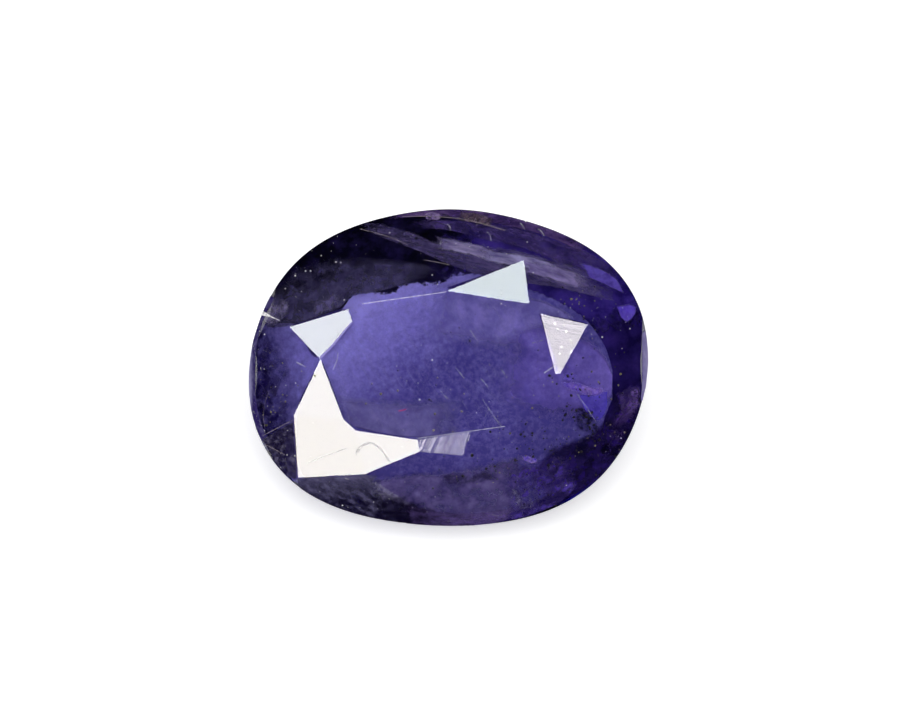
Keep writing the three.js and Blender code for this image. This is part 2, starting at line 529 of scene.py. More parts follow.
class StoneFrame:
    """The stone's own axes: x along it, y up its table and z out through the table, in millimetres."""

    def __init__(self, frame: dict[str, Any]) -> None:
        """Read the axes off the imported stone.
        """
        table = next(m for m in frame["record"]["mounts"] if m["name"] == "table_facet")
        self.out = Vector(table["axis"]).normalized()
        self.right = Vector((1.0, 0.0, 0.0))
        self.up = self.out.cross(self.right).normalized()
        node = bpy.data.objects[STONE_NODE]
        points = [node.matrix_world @ vertex.co for vertex in node.data.vertices]
        across, along, outward = (
            [point.dot(axis) for point in points] for axis in (self.right, self.up, self.out))
        self.middle = (self.right * (min(across) + max(across)) / 2
                       + self.up * (min(along) + max(along)) / 2
                       + self.out * (max(outward) - TABLE_HEIGHT_MM * MM))
        self.width = max(across) - min(across)
        self.pixel = self.width / (PHOTO_STONE_RIGHT_PX - PHOTO_STONE_LEFT_PX)
        self.eye = self.world(*self.photo(PHOTO_WIDTH_PX / 2, PHOTO_HEIGHT_PX / 2), CAMERA_DISTANCE_MM)
        turn = node.matrix_world.to_3x3()
        faces = [face for face in node.data.polygons if face.area > SMALLEST_FACE_MM2 * MM * MM]
        facets = {}
        for face in sorted(faces, key=lambda face: face.area / MM / MM):
            normal = (turn @ face.normal).normalized()
            facets[tuple(round(value * FACET_ROUNDING) for value in normal)] = (
                normal, node.matrix_world @ face.center)
        self.planes = list(facets.values())
        self.crown = [plane for plane in self.planes if plane[0].dot(self.out) > CROWN_FACING]

    def world(self, x: float, y: float, z: float) -> Vector:
        """Return the world place of a point of the stone, given in millimetres."""
        return self.middle + (self.right * x + self.up * y + self.out * z) * MM

    def photo(self, across: float, down: float) -> Point:
        """Return the x and y, in millimetres, of a place given in pixels of the photo."""
        return ((across - PHOTO_STONE_MIDDLE_PX[0]) * self.pixel / MM,
                (PHOTO_STONE_MIDDLE_PX[1] - down) * self.pixel / MM)

    def seen(self, across: float, down: float) -> tuple[Vector, Vector]:
        """Return what shows at a pixel of the photo.

        Args:
            across: Pixels from the photo's left.
            down: Pixels from its top.

        Returns:
            The place on the crown and its facet's normal.
        """
        ray = (self.world(*self.photo(across, down), 0.0) - self.eye).normalized()
        facing = [(normal, (centre - self.eye).dot(normal) / ray.dot(normal))
                  for normal, centre in self.crown]
        normal, distance = max(facing, key=lambda pair: pair[1])
        return self.eye + ray * distance, normal

    def shows(self, pixel: Point) -> bool:
        """Tell whether the stone shows at a pixel of the photo."""
        return self.margin(self.seen(*pixel)[0]) > -CLEARANCE_MM

    def margin(self, point: Vector) -> float:
        """Return how far a point is inside the stone, in millimetres."""
        return min(normal.dot(centre - point) for normal, centre in self.planes) / MM

    def under(self, pixel: Point, middle: Point, depth: float) -> Vector:
        """Return the place under the crown at a pixel, made shallower or moved inwards until it is inside.

        Args:
            pixel: The pixel.
            middle: The pixel towards which it may move.
            depth: How deep under the crown, in millimetres. Less than none is over it.

        Returns:
            The place.
        """
        across, down = pixel
        limit = CLEARANCE_MM if depth > 0 else depth * OVER_CROWN_SHARE
        shares = DEPTH_SHARES if depth > 0 else DEPTH_SHARES[:1]
        for _ in range(INSIDE_TRIES):
            surface = self.seen(across, down)[0]
            for share in shares:
                place = surface - self.out * depth * share * MM
                if self.margin(place) > limit:
                    return place
            across += (middle[0] - across) * INSIDE_STEP
            down += (middle[1] - down) * INSIDE_STEP
        return place

    def turned(self, degrees: float) -> tuple[float, float, float]:
        """Return the Euler angles of the stone's axes, turned about the table's normal."""
        axes = Matrix((self.right, self.up, self.out)).transposed()
        return tuple((axes @ Matrix.Rotation(math.radians(degrees), 3, "Z")).to_euler())

    def direction(self, x: float, y: float, z: float) -> Vector:
        """Return the world direction of a direction in the stone's axes."""
        return (self.right * x + self.up * y + self.out * z).normalized()


def deselect_all() -> None:
    """Leave edit mode and deselect every object."""
    if bpy.context.object and bpy.context.object.mode != "OBJECT":
        bpy.ops.object.mode_set(mode="OBJECT")
    bpy.ops.object.select_all(action="DESELECT")


def smooth_line(points: tuple[Point, ...], steps: int) -> list[Point]:
    """Draw a smooth curve through points.

    Args:
        points: The points, in order.
        steps: How many spans the curve gets.

    Returns:
        The curve's steps + 1 points.
    """
    line = []
    for step in range(steps + 1):
        place = step / steps * (len(points) - 1)
        index = min(int(place), len(points) - 2)
        share = place - index
        before, start, end, after = (points[min(max(index + k, 0), len(points) - 1)] for k in (-1, 0, 1, 2))
        line.append(tuple(
            0.5 * (2 * b + (c - a) * share + (2 * a - 5 * b + 4 * c - d) * share ** 2
                   + (3 * b - a - 3 * c + d) * share ** 3)
            for a, b, c, d in zip(before, start, end, after)))
    return line


def between(start: Point, end: Point, share: float) -> Point:
    """Return the point at a share of the way from a start to an end."""
    return tuple(a + (b - a) * share for a, b in zip(start, end))


def join(pieces: list[bpy.types.Object], name: str) -> bpy.types.Object:
    """Join pieces in one, with its place in its mesh.

    Args:
        pieces: What is joined.
        name: The joined piece's name.

    Returns:
        The joined piece.
    """
    deselect_all()
    for piece in pieces:
        piece.select_set(True)
    bpy.context.view_layer.objects.active = pieces[0]
    bpy.ops.object.join()
    joined = bpy.context.object
    joined.name = name
    bpy.ops.object.transform_apply(location=True, rotation=True, scale=True)
    return joined


@dataclass
class CutStone:
    """The finished stone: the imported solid, with its girdle and its polished stars marked for its finish."""

    stone: StoneFrame

    def build(self) -> bpy.types.Object:
        """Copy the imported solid, merge its triangles into facets, and mark its girdle and its polished stars.

        Returns:
            The finished stone.
        """
        deselect_all()
        source = bpy.data.objects[STONE_NODE]
        piece = bpy.data.objects.new("cut_stone", source.data.copy())
        bpy.context.scene.collection.objects.link(piece)
        piece.data.transform(source.matrix_world)
        piece.data.materials.clear()
        bpy.context.view_layer.objects.active = piece
        piece.select_set(True)
        bpy.ops.object.mode_set(mode="EDIT")
        bpy.ops.mesh.select_all(action="SELECT")
        bpy.ops.mesh.remove_doubles(threshold=MERGE_MM * MM)
        bpy.ops.mesh.dissolve_limited(angle_limit=math.radians(FLAT_DEGREES))
        bpy.ops.object.mode_set(mode="OBJECT")
        self._mark(piece, GIRDLE_MASK, lambda face: abs(face.normal.dot(self.stone.out)) < GIRDLE_FACING)
        for star in POLISHED_STARS:
            self._mark_star(piece, star)
        piece.data.materials.append(CutIolite().material(self.stone))
        return piece

    def _mark_star(self, piece: bpy.types.Object, star: PolishedStar) -> None:
        """Cut a star across where its polishing lines end, and mark the part that has them.

        Args:
            piece: The stone.
            star: The star.
        """
        spot, facing = self.stone.seen(*star.pixel)

        def on_star(face: bpy.types.MeshPolygon) -> bool:
            """Tell whether a face is part of the star."""
            return face.normal.dot(facing) > SAME_FACET

        if not star.end:
            self._mark(piece, star.mask, on_star)
            return
        first, second = (self.stone.seen(*pixel)[0] for pixel in star.end)
        cut = (second - first).cross(self.stone.out).normalized()
        if cut.dot(spot - first) < 0:
            cut = -cut
        deselect_all()
        piece.select_set(True)
        bpy.context.view_layer.objects.active = piece
        for face in piece.data.polygons:
            face.select = on_star(face)
        bpy.ops.object.mode_set(mode="EDIT")
        bpy.ops.mesh.select_mode(type="FACE")
        bpy.ops.mesh.bisect(plane_co=first, plane_no=cut)
        bpy.ops.object.mode_set(mode="OBJECT")
        self._mark(piece, star.mask, lambda face: on_star(face) and (face.center - first).dot(cut) > 0)

    @staticmethod
    def _mark(piece: bpy.types.Object, name: str, chosen: Callable[[bpy.types.MeshPolygon], bool]) -> None:
        """Give the faces an attribute that is 1 on the chosen ones.

        Args:
            piece: The stone.
            name: The attribute's name.
            chosen: Tells whether a face is chosen.
        """
        marks = [1.0 if chosen(face) else 0.0 for face in piece.data.polygons]
        piece.data.attributes.new(name, "FLOAT", "FACE").data.foreach_set("value", marks)
        log.info("%s: %d faces", name, int(sum(marks)))


@dataclass
class Film:
    """One film, a milky veil or painted light and shade: a wavy sheet just under the crown, between two borders
    given in the photo's pixels.

    Soft holds the shares over which it fades, from the upper border, the lower one, the start and the end.
    A film close over another one casts no shadow, so that its soft rim leaves no dark line.
    """

    name: str
    upper: tuple[Point, ...]
    lower: tuple[Point, ...]
    depth_mm: float
    finish: MilkAndPaintedLight
    soft: tuple[float, float, float, float] = (0.2, 0.2, 0.1, 0.1)
    length_steps: int = 80
    width_steps: int = 14
    wave: float = 0.06
    wave_px: tuple[float, float, float] = (9.0, 7.0, 17.0)
    sharpest: float = 0.001
    shadow: bool = True

    def build(self, stone: StoneFrame) -> bpy.types.Object:
        """Bend a grid to the two borders.

        Args:
            stone: The stone's axes.

        Returns:
            The film.
        """
        deselect_all()
        bpy.ops.mesh.primitive_grid_add(x_subdivisions=self.length_steps, y_subdivisions=self.width_steps,
                                        size=2.0)
        piece = bpy.context.object
        piece.name = self.name
        upper = smooth_line(self.upper, self.length_steps)
        lower = smooth_line(self.lower, self.length_steps)
        middle = between(upper[self.length_steps // 2], lower[self.length_steps // 2], 0.5)
        wide, high, slant = self.wave_px
        fades = []
        for vertex in piece.data.vertices:
            along = (vertex.co.x + 1.0) / 2.0
            across = (1.0 - vertex.co.y) / 2.0
            step = round(along * self.length_steps)
            pixel = between(upper[step], lower[step], across)
            wave = math.sin(pixel[0] / wide) + math.sin(pixel[1] / high - pixel[0] / slant)
            inward = between(between(upper[step], lower[step], 0.5), middle, 0.5)
            vertex.co = stone.under(pixel, inward, self.depth_mm * (1.0 + self.wave * wave))
            sides = (across, 1.0 - across, along, 1.0 - along)
            fades.append(min(1.0, *(side / max(soft, self.sharpest) for side, soft in zip(sides, self.soft))))
        piece.data.attributes.new(RIM_FADE, "FLOAT", "POINT").data.foreach_set("value", fades)
        bpy.ops.object.shade_smooth()
        piece.visible_shadow = self.shadow
        piece.data.materials.append(self.finish.material(self.name, stone))
        return piece


@dataclass
class GrainField:
    """Grains of one kind, scattered round some pixels of the photo.

    A cluster is its middle's place across and down, its two spreads and its count. Grains that stand out in
    the photo are larger, and each has its own pixel. A depth under none is over the crown.
    """

    name: str
    finish: Grain
    clusters: tuple[tuple[float, float, float, float, int], ...]
    size_mm: tuple[float, float]
    depth_mm: tuple[float, float]
    seed: int
    large: tuple[Point, ...] = ()
    large_mm: tuple[float, float] = (0.04, 0.06)
    unevenness: float = 0.18
    flattest: float = 0.6

    def build(self, stone: StoneFrame) -> bpy.types.Object:
        """Scatter the grains and join them in one piece.

        Args:
            stone: The stone's axes.

        Returns:
            The joined grains.
        """
        draw = random.Random(self.seed)
        deselect_all()
        bpy.ops.mesh.primitive_ico_sphere_add(subdivisions=1, radius=1.0)
        pattern = bpy.context.object
        bpy.ops.object.mode_set(mode="EDIT")
        bpy.ops.transform.vertex_random(offset=self.unevenness, seed=self.seed)
        bpy.ops.object.mode_set(mode="OBJECT")
        scattered = [((draw.gauss(across, wide), draw.gauss(down, high)),
                      draw.triangular(self.size_mm[0], self.size_mm[1], self.size_mm[0]))
                     for across, down, wide, high, count in self.clusters for _ in range(count)]
        scattered += [(spot, draw.uniform(*self.large_mm)) for spot in self.large]
        grains = []
        for spot, size in scattered:
            depth = draw.uniform(*self.depth_mm)
            stretch = [draw.uniform(self.flattest, 1.0) for _ in range(3)]
            turn = [draw.uniform(0.0, math.tau) for _ in range(3)]
            if not stone.shows(spot):
                continue
            grain = pattern.copy()
            grain.data = pattern.data.copy()
            if depth > 0:
                grain.location = stone.under(spot, PHOTO_STONE_MIDDLE_PX, depth)
            else:
                grain.location = stone.seen(*spot)[0] - stone.out * depth * MM
            grain.scale = [size * MM * share for share in stretch]
            grain.rotation_euler = turn
            bpy.context.scene.collection.objects.link(grain)
            grains.append(grain)
        bpy.data.objects.remove(pattern)
        piece = join(grains, self.name)
        piece.data.materials.append(self.finish.material(self.name))
        return piece


@dataclass(frozen=True)
class Stroke:
    """One scratch or worn edge: pixels that it runs through, and its width at its two ends."""

    pixels: tuple[Point, ...]
    width_mm: tuple[float, float]


@dataclass
class ScratchesAndGlints:
    """Ribbons of one kind, for scratches, worn edges or painted glints: narrow ribbons that lie on the crown's
    facets.
    """

    name: str
    finish: FrostAndPaintedGlint
    strokes: tuple[Stroke, ...]
    lift_mm: float = 0.004
    steps: int = 24

    def build(self, stone: StoneFrame) -> bpy.types.Object:
        """Lay every ribbon and join them in one piece.

        Args:
            stone: The stone's axes.

        Returns:
            The joined ribbons.
        """
        ribbons = [self._ribbon(stroke, stone) for stroke in self.strokes]
        piece = join(ribbons, self.name)
        piece.data.materials.append(self.finish.material(self.name))
        return piece

    def _ribbon(self, stroke: Stroke, stone: StoneFrame) -> bpy.types.Object:
        """Lay one ribbon.

        Args:
            stroke: Its way and width.
            stone: The stone's axes.

        Returns:
            The ribbon.
        """
        deselect_all()
        bpy.ops.mesh.primitive_grid_add(x_subdivisions=self.steps, y_subdivisions=1, size=2.0)
        ribbon = bpy.context.object
        line = smooth_line(stroke.pixels, self.steps)
        for vertex in ribbon.data.vertices:
            share = (vertex.co.x + 1.0) / 2.0
            step = round(share * self.steps)
            start, end = line[max(step - 1, 0)], line[min(step + 1, self.steps)]
            run = Vector((end[0] - start[0], end[1] - start[1])).normalized()
            width = stroke.width_mm[0] + (stroke.width_mm[1] - stroke.width_mm[0]) * share
            offset = vertex.co.y * width * MM / stone.pixel / 2.0
            pixel = (line[step][0] - run.y * offset, line[step][1] + run.x * offset)
            place, normal = stone.seen(*pixel)
            vertex.co = place + normal * self.lift_mm * MM
        return ribbon


@dataclass(frozen=True)
class MirroredCard:
    """Card of light that one facet mirrors to the camera.

    It has a pixel of that facet. A border, of two pixels, is where the mirrored light ends on the facet.
    """

    name: str
    pixel: Point
    strength: float
    tint: tuple[float, float, float]
    size: float = 0.026
    border: tuple[Point, ...] = ()


@dataclass
class Studio:
    """Floor, lights and camera."""

    stone: StoneFrame
    card_distance: float = 0.3
    floor_size: float = 1.2
    floor_gap: float = 0.03 * MM
    panel_distance: float = 0.4
    panel_size: float = 0.5
    panel_strength: float = 3.05
    panel_lean: tuple[float, float, float] = (0.0, 0.35, 1.0)
    surroundings: Colour = (0.02, 0.02, 0.022, 1.0)
    sensor_mm: float = 36.0
    nearest_seen: float = 0.01
    cards: tuple[MirroredCard, ...] = (
        MirroredCard("west_south_west", (320.0, 400.0), 20.8, (1.0, 0.97, 0.9)),
        MirroredCard("south_west", (320.0, 450.0), 20.1, (1.0, 0.965, 0.87)),
        MirroredCard("south_south_west", (380.0, 452.0), 20.7, (1.0, 0.97, 0.89)),
        MirroredCard("west_north_west", (315.0, 332.0), 17.6, (0.94, 0.98, 1.0),
                     border=((345.8, 309.0), (351.8, 321.0))),
        MirroredCard("north_north_east", (505.0, 285.0), 16.2, (0.9, 1.0, 0.985)),
        MirroredCard("east_north_east", EAST_STAR_PX, 16.3, (1.0, 0.945, 0.97)),
        MirroredCard("south_south_east", (440.0, 445.0), 13.6, (1.0, 0.94, 0.95), border=GREY_STAR_END_PX),
    )

    def build(self) -> None:
        """Set the whole studio up."""
        self._floor()
        self._camera()
        self._panel()
        for card in self.cards:
            self._card(card)
        world = bpy.data.worlds.new("studio")
        world.use_nodes = True
        world.node_tree.nodes["Background"].inputs["Color"].default_value = self.surroundings
        bpy.context.scene.world = world
        bpy.context.scene.view_settings.view_transform = "Standard"

    def _floor(self) -> None:
        """Lay the floor under the stone."""
        deselect_all()
        bpy.ops.mesh.primitive_plane_add(size=self.floor_size, location=(0.0, 0.0, -self.floor_gap))
        floor = bpy.context.object
        floor.name = "floor"
        floor.data.materials.append(PaleFloor().material())

    def _camera(self) -> None:
        """Look square at the table, with the stone where the photo has it."""
        data = bpy.data.cameras.new("camera")
        data.sensor_width = self.sensor_mm
        data.lens = data.sensor_width * CAMERA_DISTANCE_MM * MM / (PHOTO_WIDTH_PX * self.stone.pixel)
        data.clip_start = self.nearest_seen
        camera = bpy.data.objects.new("camera", data)
        bpy.context.scene.collection.objects.link(camera)
        axes = Matrix((self.stone.right, self.stone.up, self.stone.out)).transposed()
        camera.matrix_world = Matrix.Translation(self.stone.eye) @ axes.to_4x4()
        bpy.context.scene.camera = camera

    def _lamp(self, name: str, size: float, strength: float,
              tint: tuple[float, float, float]) -> bpy.types.Object:
        """Make a square lamp.

        Args:
            name: Its name.
            size: The length of its side.
            strength: How bright its face is.
            tint: Its colour.

        Returns:
            The lamp, not yet placed.
        """
        data = bpy.data.lights.new(name, "AREA")
        data.shape = "SQUARE"
        data.size = size
        data.energy = strength * math.pi * size * size
        data.color = tint
        lamp = bpy.data.objects.new(name, data)
        bpy.context.scene.collection.objects.link(lamp)
        lamp.visible_camera = False
        return lamp

    def _panel(self) -> None:
        """Hang the large soft panel that lights the floor and the films, but that no facet mirrors."""
        lamp = self._lamp("soft_panel", self.panel_size, self.panel_strength, (1.0, 1.0, 1.0))
        away = self.stone.direction(*self.panel_lean)
        lamp.matrix_world = (Matrix.Translation(away * self.panel_distance)
                             @ away.to_track_quat("Z", "Y").to_matrix().to_4x4())
        lamp.visible_glossy = False

    def _mirrored(self, pixel: Point) -> tuple[Vector, Vector]:
        """Return where the crown mirrors the camera's view.

        Args:
            pixel: The pixel of the photo.

        Returns:
            The place on the crown, and the direction in which it mirrors the view.
        """
        place, normal = self.stone.seen(*pixel)
        view = (place - self.stone.eye).normalized()
        return place, view - normal * 2.0 * view.dot(normal)

    def _card(self, card: MirroredCard) -> None:
        """Hang a card where its facet mirrors it. With a border, its rim is where the mirrored light ends.

        Args:
            card: The card.
        """
        place, away = self._mirrored(card.pixel)
        middle = place + away * self.card_distance
        side = away.orthogonal().normalized()
        if card.border:
            ends = []
            for pixel in card.border:
                start, ray = self._mirrored(pixel)
                ends.append(start + ray * ((middle - start).dot(away) / ray.dot(away)))
            side = (ends[1] - ends[0]).normalized()
            inward = away.cross(side)
            if inward.dot(middle - ends[0]) < 0:
                inward = -inward
            rim = ends[0] + side * side.dot(middle - ends[0])
            middle = rim + inward * card.size / 2
        lamp = self._lamp(f"card_{card.name}", card.size, card.strength, card.tint)
        upward = away.cross(side)
        axes = Matrix((side, upward, away)).transposed()
        lamp.matrix_world = Matrix.Translation(middle) @ axes.to_4x4()
        lamp.visible_diffuse = False
        lamp.visible_transmission = False


NOT_SOFT = (0.0, 0.0, 0.0, 0.0)
# Painted shade: an even dark sheet under each bright star, for the dark stone seen through the facet under its
# card.
STAR_SHADE = MilkAndPaintedLight((40, 34, 82), (48, 42, 92), cover=1.0, least=1.0, ragged=0.0)

FILMS = (
    Film("north_north_east_shade",
         ((447, 288), (484, 274.5), (522, 261)),
         ((447, 288), (488, 295.5), (528, 303)), 0.06,
         STAR_SHADE, soft=NOT_SOFT, length_steps=24),
    Film("east_north_east_shade",
         ((539, 314), (563, 318), (587, 323)),
         ((539, 314), (550, 345), (560, 374)), 0.06,
         STAR_SHADE, soft=NOT_SOFT, length_steps=24),
    Film("west_north_west_shade",
         ((290, 326), (317, 317), (343, 308.5), (352, 318)),
         ((290, 326), (304, 342), (319, 357), (352, 321)), 0.06,
         STAR_SHADE, soft=NOT_SOFT, length_steps=40),
    Film("south_west_shade",
         ((322, 361), (334, 390), (345, 420), (357, 431), (386, 435), (416, 440)),
         ((322, 361), (297, 411), (301, 475), (336, 473), (364, 471), (418, 449)), 0.06,
         STAR_SHADE, soft=NOT_SOFT, length_steps=60),
    # Painted shade: dark sheets deep under the crown, for the dark that comes back through the pavilion, over
    # the floor seen through it.
    Film("north_west_depth",
         ((252, 330), (258, 304), (272, 278), (296, 250), (326, 230), (358, 217), (394, 209), (430, 206),
          (468, 206), (506, 210), (540, 218)),
         ((300, 344), (330, 340), (358, 326), (376, 312), (394, 310), (412, 308), (430, 305), (450, 300),
          (476, 292), (508, 296), (540, 302)), 0.5,
         MilkAndPaintedLight((8, 4, 26), (32, 26, 66), cover=1.0, least=1.0, contrast=(0.45, 0.75)),
         soft=(0.0, 0.06, 0.0, 0.12)),
    Film("north_east_depth",
         ((416, 206), (470, 206), (520, 214), (560, 228), (596, 250), (622, 276), (644, 316)),
         ((416, 302), (470, 300), (506, 306), (534, 316), (560, 330), (576, 346), (590, 366)), 0.48,
         MilkAndPaintedLight((32, 22, 84), (62, 48, 134), cover=1.0, least=1.0, cloud_mm=0.7), soft=(0.0, 0.06, 0.4, 0.0)),
    Film("east_depth",
         ((560, 322), (578, 346), (586, 372), (586, 400), (572, 426), (548, 452), (520, 474), (480, 490),
          (440, 500)),
         ((636, 290), (648, 330), (652, 366), (649, 402), (633, 440), (603, 474), (566, 499), (520, 517),
          (460, 528)), 0.42,
         MilkAndPaintedLight((20, 12, 58), (44, 32, 98), cover=1.0, least=1.0, cloud_mm=0.8), soft=(0.05, 0.0, 0.2, 0.1)),
    # Milky cloud with painted light: it also stands for the floor's light seen through the window, brighter
    # towards the upper left.
    Film("body_cloud",
         ((288, 328), (316, 318), (342, 307), (350, 297), (355, 290.5), (368, 287), (382, 288.5),
          (394, 286.5), (400, 280), (414, 277), (425, 277.5), (436, 278.5), (446, 274), (454, 269),
          (478, 269), (505, 276), (530, 286), (560, 300), (584, 317), (603, 343), (612, 372)),
         ((284, 415), (286, 450), (292, 484), (330, 486), (366, 494), (392, 504), (420, 512), (446, 518),
          (474, 520), (500, 517), (524, 510), (548, 500), (568, 484), (588, 464), (598, 444), (603, 420),
          (612, 398)), 0.32,
         MilkAndPaintedLight((66, 60, 128), (128, 121, 204), cover=1.0, least=1.0, cloud_mm=0.8, contrast=(0.3, 0.75),
              mottle=0.2, fine=0.52, lean=(0.85, 130.0, 0.2, 3.1), ragged=2.2, ragged_mm=0.13),
         soft=(0.07, 0.06, 0.05, 0.02), length_steps=130, width_steps=30),
    # Painted light: the three window films stand for the floor's light seen through the pavilion's window.
    Film("window_south",
         ((330, 392), (362, 394), (400, 395), (430, 394), (470, 396)),
         ((340, 424), (372, 432), (404, 437), (430, 438), (466, 433)), 0.3,
         MilkAndPaintedLight((90, 84, 146), (114, 108, 174), cover=0.92, least=0.8, cloud_mm=0.6, fine=0.5, ragged=0.25,
              ragged_mm=0.5), soft=(0.8, 0.0, 0.35, 0.5), shadow=False),
    Film("window_north",
         ((428, 285), (460, 282), (490, 284), (520, 293), (550, 303), (576, 318)),
         ((420, 340), (454, 348), (490, 356), (526, 360), (554, 352), (572, 344)), 0.3,
         MilkAndPaintedLight((96, 89, 162), (120, 112, 188), cover=0.92, least=0.8, cloud_mm=0.5, ragged=0.25,
              ragged_mm=0.5, fine=0.7), soft=(0.2, 0.7, 0.4, 0.2), shadow=False),
    Film("window_east",
         ((500, 332), (530, 320), (562, 320), (586, 332), (603, 350), (612, 374)),
         ((490, 400), (518, 416), (546, 426), (574, 424), (596, 414), (611, 399)), 0.29,
         MilkAndPaintedLight((84, 74, 156), (124, 108, 212), cover=0.92, least=0.8, cloud_mm=0.6, mottle=0.5, fine=0.5,
              ragged=0.25, ragged_mm=0.5, lean=(0.35, -20.0, 3.2, 4.8)),
         soft=(0.32, 0.5, 0.45, 0.06), shadow=False),
    Film("south_cloud",
         ((366, 480), (386, 472), (416, 466), (450, 464), (480, 458), (512, 450), (544, 446)),
         ((372, 508), (400, 512), (430, 518), (460, 520), (488, 518), (518, 513), (550, 500)), 0.2,
         MilkAndPaintedLight((66, 58, 108), (98, 88, 146), cover=0.95, least=0.55, cloud_mm=0.35, contrast=(0.35, 0.65)),
         soft=(0.4, 0.1, 0.2, 0.35)),
    Film("south_shadows",
         ((440, 474), (456, 470), (478, 470), (500, 468)),
         ((446, 486), (460, 486), (480, 484), (500, 480)), 0.12,
         MilkAndPaintedLight((26, 22, 46), (44, 38, 76), cover=0.5, cloud_mm=0.3, contrast=(0.45, 0.6), drawn_out=1.5,
              degrees=15.0), soft=(0.5, 0.5, 0.3, 0.3)),
    # Painted shade with streaks: a dark sheet over the front break facets, in place of the floor that they
    # mirror.
    Film("south_west_breaks",
         ((296.5, 478.2), (314, 477.2), (338, 475.6), (364, 474), (384, 474)),
         ((300, 494), (320, 507), (346, 517), (376, 524), (400, 527.5)), -0.005,
         MilkAndPaintedLight((18, 15, 36), (90, 86, 126), cover=0.97, least=0.85, cloud_mm=0.14, contrast=(0.46, 0.74),
              drawn_out=2.0, degrees=-27.0, mottle=0.4, fine=0.3, lean=(0.3, 90.0, -4.3, -3.4)),
         soft=(0.06, 0.0, 0.05, 0.45), length_steps=110, width_steps=30),
    Film("south_break_shadow",
         ((350, 484), (374, 482), (394, 486), (414, 496), (442, 509)),
         ((362, 522), (388, 526.5), (408, 528), (428, 529), (456, 529)), -0.0045,
         MilkAndPaintedLight((11, 8, 25), (58, 54, 90), cover=0.95, least=0.9, cloud_mm=0.14, contrast=(0.48, 0.8),
              drawn_out=2.5, degrees=-18.0, mottle=0.34, fine=0.26),
         soft=(0.85, 0.0, 0.2, 0.4), length_steps=100, width_steps=24),
    # Painted shade with streaks: a dark sheet over the front break facets, in place of the floor that they
    # mirror.
    Film("south_breaks",
         ((402, 500), (424, 506), (446, 510), (470, 511), (496, 509), (520, 504)),
         ((410, 528), (428, 528), (448, 528), (470, 527), (496, 523), (524, 515)), -0.005,
         MilkAndPaintedLight((22, 17, 38), (70, 58, 110), cover=0.97, least=0.6, cloud_mm=0.14, contrast=(0.35, 0.7),
              drawn_out=3.0, degrees=-4.0, mottle=0.6, lean=(0.4, 0.0, -1.0, 1.5)),
         soft=(0.4, 0.0, 0.15, 0.3)),
    # Painted shade: darker towards the lower right rim, for the dark that comes back through the pavilion
    # there.
    Film("south_east_shade",
         ((520, 480), (528, 463), (538, 447), (556, 438), (579, 433), (597, 420), (606, 402), (612, 388)),
         ((546, 514), (568, 500), (590, 484), (606, 470), (620, 452), (632, 432), (641, 412), (645, 396)),
          0.2,
         MilkAndPaintedLight((14, 8, 42), (40, 28, 88), cover=0.95, least=0.85, cloud_mm=0.4), soft=(0.5, 0.0, 0.25, 0.1)),
    Film("south_east_violet",
         ((500, 474), (516, 464), (534, 456), (552, 454), (570, 450)),
         ((504, 525), (528, 518), (550, 509), (568, 497), (584, 480)), 0.12,
         MilkAndPaintedLight((50, 38, 104), (86, 70, 166), cover=0.88, least=0.35, cloud_mm=0.26, contrast=(0.44, 0.64),
              drawn_out=1.4, degrees=35.0), soft=(0.3, 0.08, 0.3, 0.35)),
    Film("east_rim_violet",
         ((612, 420), (622, 404), (630, 392), (640, 382)),
         ((596, 468), (614, 452), (630, 428), (642, 400)), 0.1,
         MilkAndPaintedLight((34, 22, 74), (76, 54, 124), cover=0.85, cloud_mm=0.35, contrast=(0.45, 0.65), drawn_out=1.8,
              degrees=64.0), soft=(0.3, 0.1, 0.3, 0.3)),
    Film("south_wisps",
         ((506, 488), (516, 486), (526, 486), (538, 492)),
         ((512, 510), (522, 512), (532, 510), (544, 504)), 0.06,
         MilkAndPaintedLight((70, 64, 110), (124, 122, 156), cover=0.7, cloud_mm=0.1, contrast=(0.48, 0.62), drawn_out=5.0,
              degrees=-58.0), soft=(0.4, 0.3, 0.3, 0.3)),
    Film("west_cloud",
         ((258, 322), (252, 345), (249, 370), (251, 400), (257, 424), (266, 444)),
         ((296, 324), (308, 340), (322, 358), (308, 390), (297, 414), (298, 436)), 0.25,
         MilkAndPaintedLight((23, 16, 64), (120, 112, 206), cover=1.0, least=0.97, cloud_mm=0.3, contrast=(0.4, 0.66),
              mottle=0.2, fine=0.3, lean=(0.72, 10.0, -5.6, -4.2)), soft=(0.0, 0.0, 0.03, 0.03)),
    Film("west_shadows",
         ((262, 330), (272, 338), (284, 342), (296, 344)),
         ((258, 424), (270, 426), (282, 420), (292, 410)), 0.22,
         MilkAndPaintedLight((32, 25, 68), (54, 46, 102), cover=0.55, cloud_mm=0.35, contrast=(0.46, 0.64)),
         soft=(0.3, 0.2, 0.2, 0.5)),
    # Painted light: a pale band over the west girdle edge, for the floor's light through the thin rim, brighter
    # outwards.
    Film("west_rim",
         ((270, 293), (261, 307), (254, 322), (249, 342), (247, 370), (248, 400), (254, 426), (262, 444)),
         ((276, 298), (268, 312), (262, 327), (258, 346), (256, 370), (257, 398), (262, 422), (268, 438)),
          -0.006,
         MilkAndPaintedLight((36, 29, 74), (120, 116, 164), cover=1.0, least=1.0, cloud_mm=0.5, mottle=0.1,
              lean=(0.9, 180.0, 6.18, 6.31)), soft=(0.0, 0.3, 0.05, 0.08), width_steps=8),
    # Painted light: a pale band over the east girdle edge, for the floor's light through the thin rim, brighter
    # outwards.
    Film("east_rim",
         ((641.5, 332), (642, 350), (642, 370), (641.5, 388), (640, 402)),
         ((645, 326), (648, 348), (649.5, 370), (649, 390), (646, 406)), -0.006,
         MilkAndPaintedLight((74, 67, 120), (124, 118, 162), cover=1.0, least=0.9, cloud_mm=0.5, mottle=0.35,
